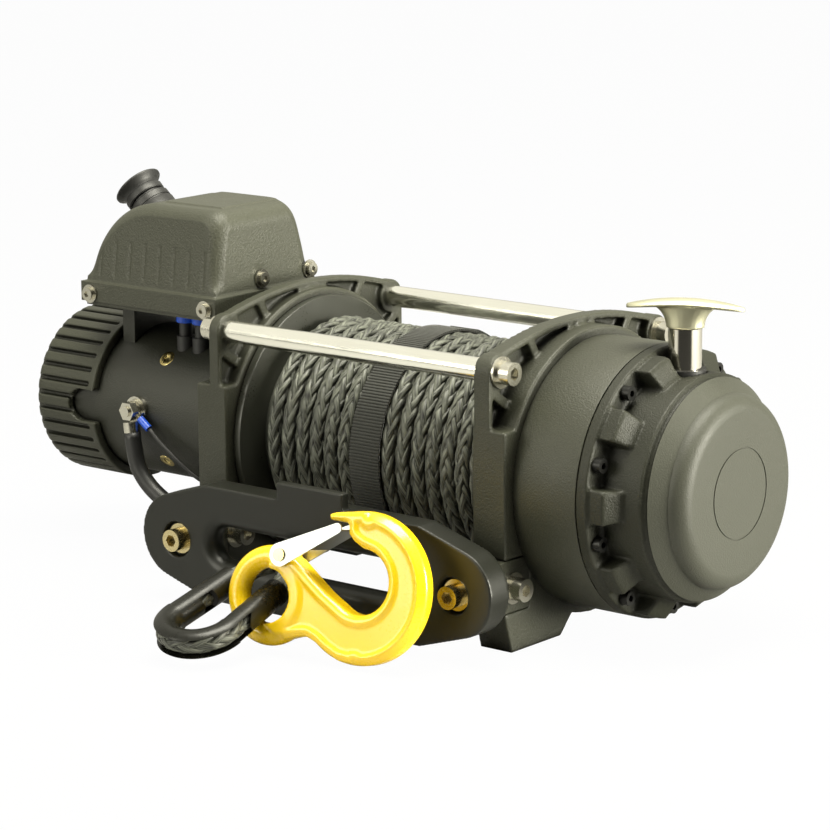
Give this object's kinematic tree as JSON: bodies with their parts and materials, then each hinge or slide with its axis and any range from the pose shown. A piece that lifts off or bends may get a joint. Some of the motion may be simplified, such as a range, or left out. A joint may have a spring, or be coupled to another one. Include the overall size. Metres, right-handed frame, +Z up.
{
  "type": "electric winch",
  "caption": "Electric recovery winch with synthetic rope on an open drum, planetary gearbox, control box, hawse fairlead and eye hook on a thimble.",
  "frame": {"origin": "middle of the four mounting holes, on the underside of the feet", "axes": "+X along the drum towards the gearbox, -Y towards the fairlead, +Z up"},
  "size_m": [0.6115, 0.5361, 0.2866],
  "materials": {
    "cast_black": "powder coat, fine grain, satin",
    "rod_steel": "bright drawn steel",
    "zinc": "zinc plated",
    "motor_black": "satin black paint",
    "brass": "plated countersunk screw",
    "blue_boot": "insulation sleeve",
    "copper": "laminations and windings",
    "drum_black": "gloss black paint",
    "bronze": "plain bearing bronze",
    "rope_grey": "twelve strand braided synthetic rope",
    "webbing": "woven strap, ribbed crosswise",
    "gear_steel": "hardened gear steel",
    "black_oxide": "black oxide",
    "cap_black": "powder coat, satin",
    "black_plastic": "moulded",
    "chrome": "polished",
    "satin_metal": "satin cast alloy",
    "box_plastic": "grained moulding",
    "black_rubber": "smooth",
    "fairlead_black": "hard coat, satin",
    "gold_zinc": "yellow passivated zinc",
    "gloss_black": "gloss black",
    "yellow_paint": "gloss yellow powder coat",
    "latch_zinc": "bright zinc plate",
    "cable_black": "smooth cable jacket"
  },
  "bodies": {
    "base": {"left_frame": "cast_black", "right_frame": "cast_black", "tie_rods": "rod_steel", "tie_rod_screws": "zinc", "foot_nuts": "zinc", "motor_tube": "motor_black", "motor_end_cap": "cast_black", "motor_screws": "brass", "terminal_stud": "zinc", "motor_leads": "blue_boot", "drum_bushes": "bronze", "rope_run": "rope_grey", "rope_eye": "rope_grey", "ring_gear_housing": "cast_black", "ring_gear": "gear_steel", "gear_cover": "cast_black", "cover_bolts": "black_oxide", "gear_end_cap": "cap_black", "clutch_collar": "black_plastic", "box_bracket": "motor_black", "box_base": "black_plastic", "box_cover": "box_plastic", "box_screws": "zinc", "contactor": "black_plastic", "remote_socket": "black_rubber", "socket_screw": "zinc", "fairlead": "fairlead_black", "fairlead_bolts": "gold_zinc", "adapter_blocks": "cast_black", "adapter_screws": "zinc", "thimble": "gloss_black", "battery_cable": "cable_black", "cable_coil": "cable_black", "cable_lugs": "zinc", "earth_wire": "cable_black", "earth_crimp": "blue_boot"},
    "drum_body": {"drum": "drum_black", "rope_core": "rope_grey", "rope_winding": "rope_grey", "rope_strap": "webbing", "output_carrier": "gear_steel"},
    "carrier_body": {"first_carrier": "gear_steel"},
    "armature_body": {"armature": "copper"},
    "planet_1a_body": {"planet_1a": "gear_steel"},
    "planet_1b_body": {"planet_1b": "gear_steel"},
    "planet_1c_body": {"planet_1c": "gear_steel"},
    "planet_2a_body": {"planet_2a": "gear_steel"},
    "planet_2b_body": {"planet_2b": "gear_steel"},
    "planet_2c_body": {"planet_2c": "gear_steel"},
    "clutch_pin_body": {"clutch_pin": "chrome"},
    "clutch_handle_body": {"clutch_handle": "satin_metal"},
    "cap_body": {"socket_cap": "black_rubber"},
    "hook_body": {"hook": "yellow_paint", "latch_pin": "zinc", "latch_spring": "zinc"},
    "latch_body": {"latch": "latch_zinc"}
  },
  "joints": [
    {"name": "drum_spin", "type": "hinge", "parent": "base", "child": "drum_body", "pos_m": [0, 0, 0.111], "axis": [1, 0, 0], "continuous": true, "deforming": ["rope_run"]},
    {"name": "carrier_spin", "type": "hinge", "parent": "base", "child": "carrier_body", "pos_m": [0, 0, 0.111], "axis": [1, 0, 0], "continuous": true},
    {"name": "armature_spin", "type": "hinge", "parent": "base", "child": "armature_body", "pos_m": [0, 0, 0.111], "axis": [1, 0, 0], "continuous": true},
    {"name": "planet_1a_spin", "type": "hinge", "parent": "carrier_body", "child": "planet_1a_body", "pos_m": [0.18, 0.04725, 0.111], "axis": [1, 0, 0], "continuous": true},
    {"name": "planet_1b_spin", "type": "hinge", "parent": "carrier_body", "child": "planet_1b_body", "pos_m": [0.18, -0.02363, 0.15192], "axis": [1, 0, 0], "continuous": true},
    {"name": "planet_1c_spin", "type": "hinge", "parent": "carrier_body", "child": "planet_1c_body", "pos_m": [0.18, -0.02363, 0.07008], "axis": [1, 0, 0], "continuous": true},
    {"name": "planet_2a_spin", "type": "hinge", "parent": "drum_body", "child": "planet_2a_body", "pos_m": [0.16, 0.04725, 0.111], "axis": [1, 0, 0], "continuous": true},
    {"name": "planet_2b_spin", "type": "hinge", "parent": "drum_body", "child": "planet_2b_body", "pos_m": [0.16, -0.02363, 0.15192], "axis": [1, 0, 0], "continuous": true},
    {"name": "planet_2c_spin", "type": "hinge", "parent": "drum_body", "child": "planet_2c_body", "pos_m": [0.16, -0.02363, 0.07008], "axis": [1, 0, 0], "continuous": true},
    {"name": "clutch_lift", "type": "slide", "parent": "base", "child": "clutch_pin_body", "axis": [0, 0, 1], "range_m": [0, 0.01]},
    {"name": "clutch_turn", "type": "hinge", "parent": "clutch_pin_body", "child": "clutch_handle_body", "pos_m": [0.2153, 0, 0.22], "axis": [0, 0, 1], "range_deg": [0, 90]},
    {"name": "cap_flip", "type": "hinge", "parent": "base", "child": "cap_body", "pos_m": [-0.27916, 0.004, 0.2741], "axis": [0, 1, 0], "range_deg": [0, 100]},
    {"name": "hook_swing", "type": "hinge", "parent": "base", "child": "hook_body", "pos_m": [0.0056, -0.1884, 0.0384], "axis": [0.1192, -0.9709, 0.2079], "range_deg": [-2, 35]},
    {"name": "latch_swing", "type": "hinge", "parent": "hook_body", "child": "latch_body", "pos_m": [0.01547, -0.18101, 0.06725], "axis": [0.1192, -0.9709, 0.2079], "range_deg": [-38, 0], "stiffness_Nm_per_rad": 0.05, "springref_deg": 11.46}
  ],
  "couplings": [
    {"joint": "carrier_spin", "follows": "drum_spin", "ratio": 4.5},
    {"joint": "armature_spin", "follows": "drum_spin", "ratio": 20.25},
    {"joint": "planet_2a_spin", "follows": "drum_spin", "ratio": -2.8},
    {"joint": "planet_2b_spin", "follows": "drum_spin", "ratio": -2.8},
    {"joint": "planet_2c_spin", "follows": "drum_spin", "ratio": -2.8},
    {"joint": "planet_1a_spin", "follows": "drum_spin", "ratio": -12.6},
    {"joint": "planet_1b_spin", "follows": "drum_spin", "ratio": -12.6},
    {"joint": "planet_1c_spin", "follows": "drum_spin", "ratio": -12.6}
  ]
}
